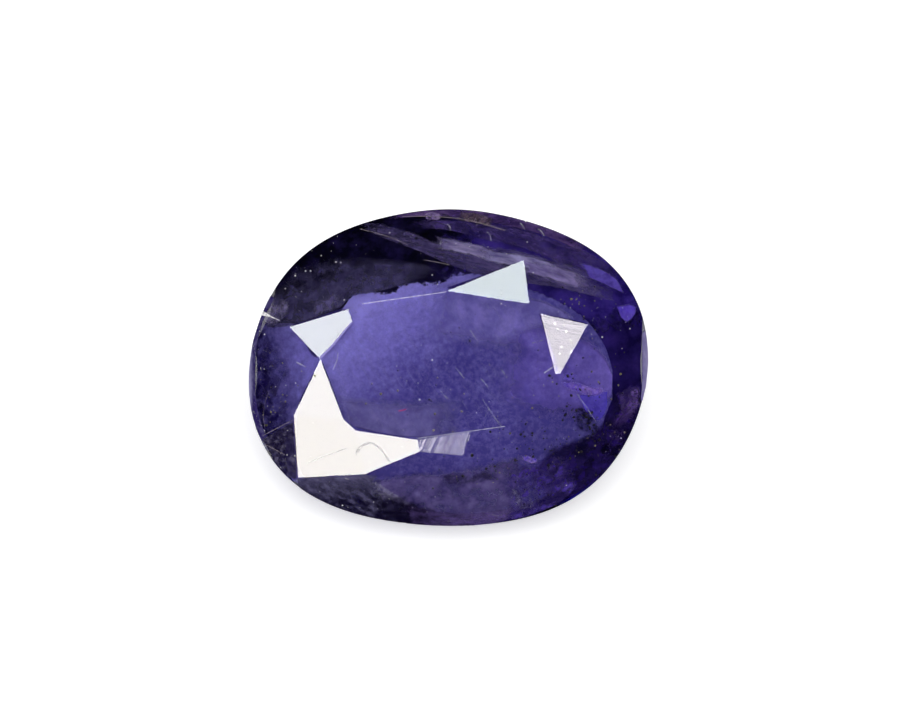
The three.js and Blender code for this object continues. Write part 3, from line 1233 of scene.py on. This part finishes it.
              lean=(0.5, 0.0, 6.1, 6.3)), soft=(0.0, 0.0, 0.15, 0.15), width_steps=8),
    # Painted shade: a dark sheet over the lower-left break facets, in place of the floor that they mirror.
    Film("south_west_grime",
         ((262, 440), (270, 434), (281, 427), (292.8, 420.5)),
         ((276, 464), (283, 473), (290, 479), (296.8, 480)), -0.004,
         MilkAndPaintedLight((26, 22, 44), (78, 74, 100), cover=0.95, least=0.8, cloud_mm=0.16, contrast=(0.48, 0.78),
              fine=0.6), soft=(0.0, 0.0, 0.1, 0.02)),
    Film("north_west_haze",
         ((258, 312), (267, 290), (287, 268), (316, 254), (354, 253), (390, 255), (424, 261), (454, 271)),
         ((266, 329), (290, 327), (316, 319), (340, 310), (352, 298), (378, 293), (400, 287), (422, 283)),
          0.14,
         MilkAndPaintedLight((13, 9, 35), (97, 91, 145), cover=0.92, least=0.65, cloud_mm=0.4, contrast=(0.34, 0.66),
              mottle=0.28, fine=0.24, lean=(0.2, -60.0, -4.9, -3.8), ragged=0.5, ragged_mm=0.5),
         soft=(0.6, 0.0, 0.08, 0.3)),
    Film("haze_patch",
         ((308, 302), (320, 295), (332, 291), (346, 292)),
         ((312, 318), (322, 314), (334, 311), (345, 306)), 0.1,
         MilkAndPaintedLight((72, 66, 110), (98, 92, 142), cover=0.8, least=0.4, cloud_mm=0.2), soft=(0.7, 0.2, 0.4, 0.4)),
    Film("north_west_edge_glow",
         ((260, 322), (263, 311), (267, 302), (274, 292)),
         ((275, 328), (284, 322), (291, 313), (292, 300)), 0.08,
         MilkAndPaintedLight((72, 66, 118), (124, 116, 162), cover=0.85, least=0.3, cloud_mm=0.25),
         soft=(0.3, 0.5, 0.3, 0.4)),
    Film("feather",
         ((346, 224), (378, 222), (410, 230), (436, 240), (460, 238), (486, 241), (520, 247), (552, 256),
          (584, 269), (632, 297)),
         ((358, 230), (390, 242), (420, 253), (450, 266), (482, 277), (520, 284), (560, 290), (600, 300),
          (636, 307)), 0.16,
         MilkAndPaintedLight((50, 44, 82), (102, 92, 146), cover=0.92, least=0.62, cloud_mm=0.16, contrast=(0.36, 0.72),
              drawn_out=9.0, degrees=-16.5, mottle=0.6, lean=(0.16, -16.0, -1.0, 3.0)),
         soft=(0.45, 0.1, 0.2, 0.3)),
    Film("feather_west_core",
         ((428, 234), (446, 236), (466, 240), (484, 245), (500, 251)),
         ((434, 250), (452, 254), (470, 258), (486, 262), (500, 263)), 0.13,
         MilkAndPaintedLight((106, 96, 152), (156, 146, 198), cover=0.9, least=0.3, cloud_mm=0.2, drawn_out=5.0,
              degrees=-17.0), soft=(0.5, 0.5, 0.4, 0.4)),
    Film("feather_middle_core",
         ((474, 246), (494, 250), (516, 253), (540, 258), (564, 266)),
         ((478, 260), (496, 265), (516, 269), (540, 273), (564, 280)), 0.13,
         MilkAndPaintedLight((98, 91, 146), (142, 135, 188), cover=0.92, least=0.6, cloud_mm=0.15, drawn_out=4.0,
              degrees=-17.0), soft=(0.45, 0.45, 0.35, 0.35)),
    Film("feather_east_core",
         ((512, 259), (536, 260), (556, 264), (574, 270), (592, 277)),
         ((516, 272), (540, 279), (558, 285), (574, 290), (590, 293)), 0.125,
         MilkAndPaintedLight((104, 93, 154), (150, 138, 198), cover=0.9, least=0.4, cloud_mm=0.22, drawn_out=5.0,
              degrees=-18.0), soft=(0.45, 0.45, 0.35, 0.5)),
    Film("feather_violet_end",
         ((576, 262), (590, 264), (604, 270), (618, 280)),
         ((586, 277), (600, 284), (613, 290), (627, 296)), 0.1,
         MilkAndPaintedLight((66, 52, 134), (94, 80, 182), cover=0.9, least=0.75, cloud_mm=0.3, ragged=0.4),
         soft=(0.35, 0.25, 0.35, 0.25)),
    Film("north_clouds",
         ((396, 222), (440, 220), (480, 222), (520, 228), (556, 240), (600, 258), (630, 284)),
         ((404, 230), (446, 232), (484, 242), (524, 252), (560, 266), (598, 282), (626, 300)), 0.2,
         MilkAndPaintedLight((36, 28, 76), (76, 63, 124), cover=0.9, least=0.5, cloud_mm=0.28, drawn_out=2.0,
              degrees=-14.0), soft=(0.3, 0.3, 0.3, 0.3)),
    Film("north_rim",
         ((380, 217), (410, 212), (440, 209), (470, 209), (505, 214), (536, 222), (566, 234), (596, 250)),
         ((384, 221), (412, 218), (440, 217), (472, 220), (505, 227), (532, 233), (560, 243), (590, 258)),
          0.06,
         MilkAndPaintedLight((52, 38, 86), (94, 74, 132), cover=0.95, least=0.7, cloud_mm=0.25, drawn_out=2.5,
              degrees=-8.0), soft=(0.1, 0.25, 0.2, 0.2)),
    Film("north_rim_brown",
         ((456, 211), (470, 211), (484, 214), (494, 218)),
         ((456, 222), (470, 224), (484, 227), (494, 229)), 0.04,
         MilkAndPaintedLight((64, 52, 72), (108, 92, 116), cover=0.85, least=0.5, cloud_mm=0.12),
         soft=(0.4, 0.4, 0.4, 0.4)),
    Film("north_rim_lilac",
         ((424, 213), (431, 211), (437, 212), (442, 215)),
         ((424, 219), (430, 221), (437, 221), (442, 218)), 0.04,
         MilkAndPaintedLight((104, 86, 150), (140, 122, 178), cover=0.8, least=0.3, cloud_mm=0.15),
         soft=(0.35, 0.35, 0.3, 0.3)),
    # Painted glints: these six films paint the violet and blue light that comes back through the pavilion.
    Film("violet_glint_ridge",
         ((556, 381), (570, 379), (584, 383), (594, 386), (606, 382)),
         ((564, 391), (576, 394), (586, 397), (598, 397), (606, 391)), 0.14,
         MilkAndPaintedLight((92, 74, 192), (146, 120, 238), cover=0.9, least=0.35, cloud_mm=0.2, ragged=0.5),
         soft=(0.6, 0.6, 0.4, 0.4)),
    Film("violet_glint_east",
         ((574, 392), (586, 391), (598, 388), (609, 389)),
         ((584, 411), (592, 421), (600, 425), (608, 408)), 0.15,
         MilkAndPaintedLight((66, 54, 164), (88, 76, 194), cover=0.85, least=0.6, cloud_mm=0.35, ragged=0.4),
         soft=(0.35, 0.4, 0.3, 0.25)),
    Film("violet_glint_tip",
         ((562, 374), (567, 371), (573, 372), (577, 376)),
         ((562, 379), (567, 382), (573, 381), (577, 378)), 0.14,
         MilkAndPaintedLight((90, 76, 180), (112, 98, 196), cover=0.8, least=0.4, cloud_mm=0.3),
         soft=(0.4, 0.4, 0.3, 0.3)),
    Film("violet_glint_low",
         ((521, 456), (526, 454), (532, 456), (539, 458)),
         ((522, 461), (527, 463), (533, 465), (539, 462)), 0.08,
         MilkAndPaintedLight((84, 68, 196), (158, 136, 250), cover=0.92, least=0.4, cloud_mm=0.14, ragged=0.6),
         soft=(0.5, 0.5, 0.45, 0.45)),
    Film("violet_glint_rim",
         ((616, 394), (624, 386), (632, 382), (641, 384)),
         ((620, 414), (628, 424), (634, 416), (641, 404)), 0.08,
         MilkAndPaintedLight((54, 38, 104), (104, 84, 156), cover=0.8, least=0.2, cloud_mm=0.25, ragged=0.4),
         soft=(0.5, 0.5, 0.4, 0.4)),
    Film("blue_glint",
         ((614, 307), (622, 303), (630, 303), (637, 308)),
         ((619, 317), (626, 324), (631, 321), (636, 312)), 0.12,
         MilkAndPaintedLight((78, 60, 176), (104, 86, 206), cover=0.95, least=0.7, cloud_mm=0.3, ragged=0.4),
         soft=(0.4, 0.4, 0.35, 0.35)),
    Film("pepper_shade",
         ((572, 406), (580, 403), (590, 407), (600, 416)),
         ((574, 426), (582, 435), (592, 438), (602, 434)), 0.14,
         MilkAndPaintedLight((16, 13, 34), (30, 26, 58), cover=0.85, least=0.1, cloud_mm=0.16, contrast=(0.46, 0.62)),
         soft=(0.4, 0.4, 0.4, 0.4)),
    Film("table_brushing",
         ((326, 352), (352, 300), (398, 294), (446, 292), (490, 297), (530, 304), (540, 318)),
         ((344, 420), (356, 430), (390, 434), (418, 438), (460, 434), (505, 427), (550, 372)), 0.05,
         MilkAndPaintedLight((130, 124, 178), (160, 156, 196), cover=0.13, cloud_mm=0.08, contrast=(0.5, 0.75),
              drawn_out=12.0, degrees=-56.0), soft=(0.1, 0.1, 0.1, 0.1)),
    Film("table_chips",
         ((350, 322), (343, 330), (336, 338), (328, 347), (319, 356)),
         ((353, 322), (345, 332), (338, 341), (330, 350), (320, 360)), -0.004,
         MilkAndPaintedLight((100, 93, 158), (116, 109, 172), cover=1.0, least=1.0, ragged=1.0, ragged_mm=0.05),
         soft=(0.9, 0.0, 0.05, 0.05), width_steps=8),
)

PEPPER = Grain((0.002, 0.002, 0.002, 1.0), (0.02, 0.018, 0.01, 1.0))
OLIVE = Grain((0.12, 0.105, 0.03, 1.0), (0.5, 0.46, 0.2, 1.0))
DUST = Grain((0.9, 0.9, 0.92, 1.0), (0.98, 0.98, 0.98, 1.0))
# Painted glint: these chips glow, in place of the light that they would mirror.
GLINT = Grain((0.9, 0.88, 0.92, 1.0), (1.0, 1.0, 1.0, 1.0), 0.4, 1.2)

GRAIN_FIELDS = (
    GrainField("pepper_grains", PEPPER,
               ((572, 412, 6, 8, 14), (588, 420, 8, 9, 30), (585, 395, 18, 24, 22), (550, 448, 24, 16, 26),
                (545, 476, 22, 14, 20), (600, 440, 14, 14, 12), (580, 300, 18, 12, 12),
                (480, 470, 24, 12, 10), (520, 430, 16, 10, 8), (440, 400, 60, 40, 12)), (0.024, 0.06),
                (0.03, 0.12), 11,
               large=((549.7, 375.6), (567.8, 376), (579.9, 389.8), (571, 395.2), (566.8, 406.2),
                      (571.6, 409.9), (576.2, 410.3), (573.7, 417.2), (591.5, 412.7), (532.1, 433),
                      (520.5, 434.3), (490.3, 431.6), (515.1, 460.1), (533.2, 456.3), (548.3, 465.2),
                      (561.1, 462.4), (581.2, 451.5), (462.9, 475.7), (456.9, 478.6), (486.3, 468.6),
                      (444.1, 455.6), (534.2, 488.2), (548.3, 494.7), (539.7, 494), (615.2, 456),
                      (599.1, 439.8), (553.1, 453.8), (595.9, 474.8), (472, 455.2)),
               large_mm=(0.042, 0.07)),
    GrainField("fine_pepper", PEPPER,
               ((470, 380, 60, 45, 60), (560, 430, 40, 40, 70), (300, 400, 30, 40, 20),
                (470, 490, 40, 14, 24)), (0.008, 0.02), (0.02, 0.12), 12),
    GrainField("olive_grains", OLIVE,
               ((276, 400, 12, 26, 24), (440, 420, 60, 24, 16), (590, 360, 18, 40, 22),
                (580, 302, 10, 6, 12), (540, 460, 50, 20, 20), (620, 440, 10, 12, 6)), (0.014, 0.034),
                (0.02, 0.08), 23,
               large=((272.8, 377.7), (298, 385.5), (285.8, 401.6), (271.2, 411.9), (267.1, 425.4),
                      (437.5, 377.7), (434.9, 414), (380.9, 393.9), (365.9, 403.8), (371.9, 383.8),
                      (397.8, 390.6), (433.5, 430.3), (464.1, 393.9), (461.7, 411.4), (552.4, 381.8),
                      (558.6, 395.9), (532.1, 407.9), (598.4, 382), (611, 399.1), (591.5, 371.5),
                      (624.4, 432.3), (610, 424.7), (595, 445.6), (620.3, 374), (618.2, 385.2),
                      (509.9, 433.4), (499.6, 472.4), (571.3, 299.3), (579, 302.6), (584, 306)),
               large_mm=(0.03, 0.052)),
    GrainField("dust_specks", DUST,
               ((300, 276, 20, 22, 14), (345, 250, 20, 12, 6), (262, 350, 5, 30, 12), (275, 420, 8, 24, 14),
                (300, 470, 14, 8, 10), (440, 236, 50, 10, 12), (500, 296, 24, 8, 8), (560, 330, 6, 10, 10),
                (595, 325, 14, 14, 6), (450, 380, 70, 45, 26), (400, 500, 40, 10, 16),
                (590, 440, 30, 20, 8), (630, 330, 6, 16, 6)), (0.006, 0.018), (-0.008, -0.004), 37,
               large=((295.2, 275.7), (305.6, 271), (310.6, 271), (335.9, 262), (340.7, 262.5),
                      (321.2, 255.6), (285.3, 288.7), (301.6, 291.5), (344.2, 300), (432.2, 275),
                      (437.5, 284.4), (389.6, 232.8), (259.4, 331.2), (264.5, 334.3), (264.2, 369.1),
                      (525.7, 221.5), (527.2, 242), (455.8, 243.6), (469.5, 246.6), (506.5, 253.9),
                      (533.2, 272.7), (501.2, 289.8), (501.2, 293.7), (501.3, 303.8), (505.4, 305.6),
                      (570.5, 307.6), (563.8, 325), (565.9, 331.9), (557.6, 328.6), (554.9, 323.8),
                      (570.3, 339.6), (561, 346.4), (591.5, 334.1), (602.2, 337.1), (629.9, 328.6),
                      (295.6, 383.1), (287.1, 454.9), (294.9, 455.8), (342.4, 505.4), (418.1, 383.1),
                      (432.2, 360), (419.5, 399.6), (476.3, 412.8), (566.4, 485.3), (621, 438.2)),
               large_mm=(0.016, 0.03)),
    GrainField("star_chips", DUST,
               ((347, 324, 1.5, 2, 2), (340, 333, 1.5, 2, 2), (333, 342, 1.5, 2, 2), (326, 350, 1.5, 2, 2),
                (347, 311, 1.5, 2, 2), (492, 298, 5, 0.8, 6)), (0.014, 0.03), (-0.004, -0.002), 41),
    GrainField("glinting_chips", GLINT,
               (), (0.01, 0.02), (-0.004, -0.002), 43,
               large=((563.8, 325.3), (566.1, 331.4), (570.7, 340.1), (561.5, 346.7), (560.0, 353.9),
                      (571.1, 351.7), (557.7, 329.1), (554.9, 323.7)),
               large_mm=(0.024, 0.046)),
)

PALE_SCRATCHES = ScratchesAndGlints("pale_scratches", FrostAndPaintedGlint((0.75, 0.74, 0.85, 1.0), 0.4), (
    Stroke(((482.5, 399), (489.5, 409.5), (495, 418), (501, 426)), (0.014, 0.016)),
    Stroke(((489, 409), (486, 414), (485, 418)), (0.014, 0.01)),
    Stroke(((577, 394), (587, 408), (596, 422)), (0.016, 0.016)),
    Stroke(((456, 368), (460, 373), (464, 378)), (0.02, 0.02)),
    Stroke(((500, 368), (504, 373), (507, 378)), (0.02, 0.02)),
    Stroke(((481, 379), (485, 383), (488, 387)), (0.02, 0.02)),
    Stroke(((440, 390), (444, 395), (448, 399)), (0.02, 0.02)),
    Stroke(((470, 330), (474, 336), (478, 342)), (0.02, 0.02)),
    Stroke(((532, 343), (537, 342), (543, 340)), (0.02, 0.014)),
    Stroke(((544, 373), (550, 369), (557, 364)), (0.04, 0.06)),
    Stroke(((520, 223), (523, 226), (524.5, 230)), (0.03, 0.02)),
    Stroke(((538, 229), (542, 232), (544, 236)), (0.03, 0.03)),
    Stroke(((447, 224), (450, 227), (450, 231)), (0.03, 0.02)),
    Stroke(((487, 232), (490, 235), (491, 241)), (0.02, 0.02)),
    Stroke(((338, 352), (337, 360), (333, 370)), (0.02, 0.02)),
    Stroke(((296, 362), (300, 364), (306, 367)), (0.04, 0.03)),
    Stroke(((446, 521), (458, 521), (470, 520), (478, 519)), (0.02, 0.012)),
    Stroke(((492, 514), (497, 516), (504, 515)), (0.05, 0.02)),
    Stroke(((345, 478), (352, 480), (362, 479)), (0.03, 0.02)),
))

# Worn table edges with a painted glint: pale matt ribbons stand for the light that the worn edges mirror.
BRIGHT_EDGES = ScratchesAndGlints("worn_table_edges", FrostAndPaintedGlint((0.85, 0.83, 0.95, 1.0), 0.65), (
    Stroke(((362.5, 303.8), (390, 299.9), (418, 295.9), (446.3, 291.8)), (0.026, 0.02)),
    Stroke(((418, 438.4), (440, 435.4), (470, 431.2), (505, 426.3)), (0.018, 0.018)),
))

# Painted glint: a bright white sliver at the west end, painted as a matt ribbon.
WHITE_SLIVER = ScratchesAndGlints("white_sliver", FrostAndPaintedGlint((0.98, 0.96, 0.98, 1.0), 1.3), (
    Stroke(((262, 313), (266, 314.6), (270, 316.2)), (0.15, 0.06)),
    Stroke(((269, 315.9), (274, 318), (280, 320.6)), (0.05, 0.008)),
))

DULL_EDGES = ScratchesAndGlints("worn_break_edges", FrostAndPaintedGlint((0.5, 0.42, 0.45, 1.0), 0.4), (
    Stroke(((262.8, 435.7), (278, 427.7), (293.6, 419.6)), (0.022, 0.022)),
    Stroke(((264.5, 443.5), (274, 449), (284.8, 454.6)), (0.022, 0.022)),
    Stroke(((269.5, 390), (265, 403), (263.4, 416), (265, 427)), (0.01, 0.012)),
    Stroke(((402, 216.5), (425, 216.3), (446, 217.3), (472, 221), (505, 230.5)), (0.022, 0.03)),
    Stroke(((360, 229), (376, 233), (392, 238), (408, 245)), (0.02, 0.02)),
    Stroke(((424, 260), (436, 262), (450, 265)), (0.02, 0.02)),
    Stroke(((293.6, 411), (294.8, 430), (296.4, 453), (298, 476)), (0.014, 0.014)),
))

GREY_TRACKS = ScratchesAndGlints("grey_tracks", FrostAndPaintedGlint((0.35, 0.35, 0.4, 1.0), 0.18, break_mm=0.6), (
    Stroke(((356.5, 454), (361, 446.5), (370.6, 443.4), (380, 448), (388.6, 460)), (0.08, 0.08)),
    Stroke(((307, 463), (327, 455), (347, 448)), (0.02, 0.02)),
))

RED_DASH = ScratchesAndGlints("red_dash", FrostAndPaintedGlint((0.6, 0.05, 0.2, 1.0), 0.7, break_mm=0.6), (
    Stroke(((398.5, 411), (402.5, 410.3), (406.5, 409)), (0.035, 0.03)),
))


def main() -> None:
    """Build the stone and its studio."""
    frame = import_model()
    stone = StoneFrame(frame)
    log.info("stone %.2f mm wide, pixel %.5f mm", stone.width / MM, stone.pixel / MM)
    piece = CutStone(stone).build()
    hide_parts(STONE_NODE)
    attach(piece, STONE_BODY)
    log.info("cut stone: %d faces", len(piece.data.polygons))
    # The ribbons: scratches, worn edges, and the painted glints of the bright table edges and the white sliver.
    scratches = (PALE_SCRATCHES, BRIGHT_EDGES, WHITE_SLIVER, DULL_EDGES, GREY_TRACKS, RED_DASH)
    for part in (*FILMS, *GRAIN_FIELDS, *scratches):
        grown = part.build(stone)
        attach(grown, STONE_BODY)
        log.info("%s: %d faces", grown.name, len(grown.data.polygons))
    Studio(stone).build()


if __name__ == "__main__":
    main()
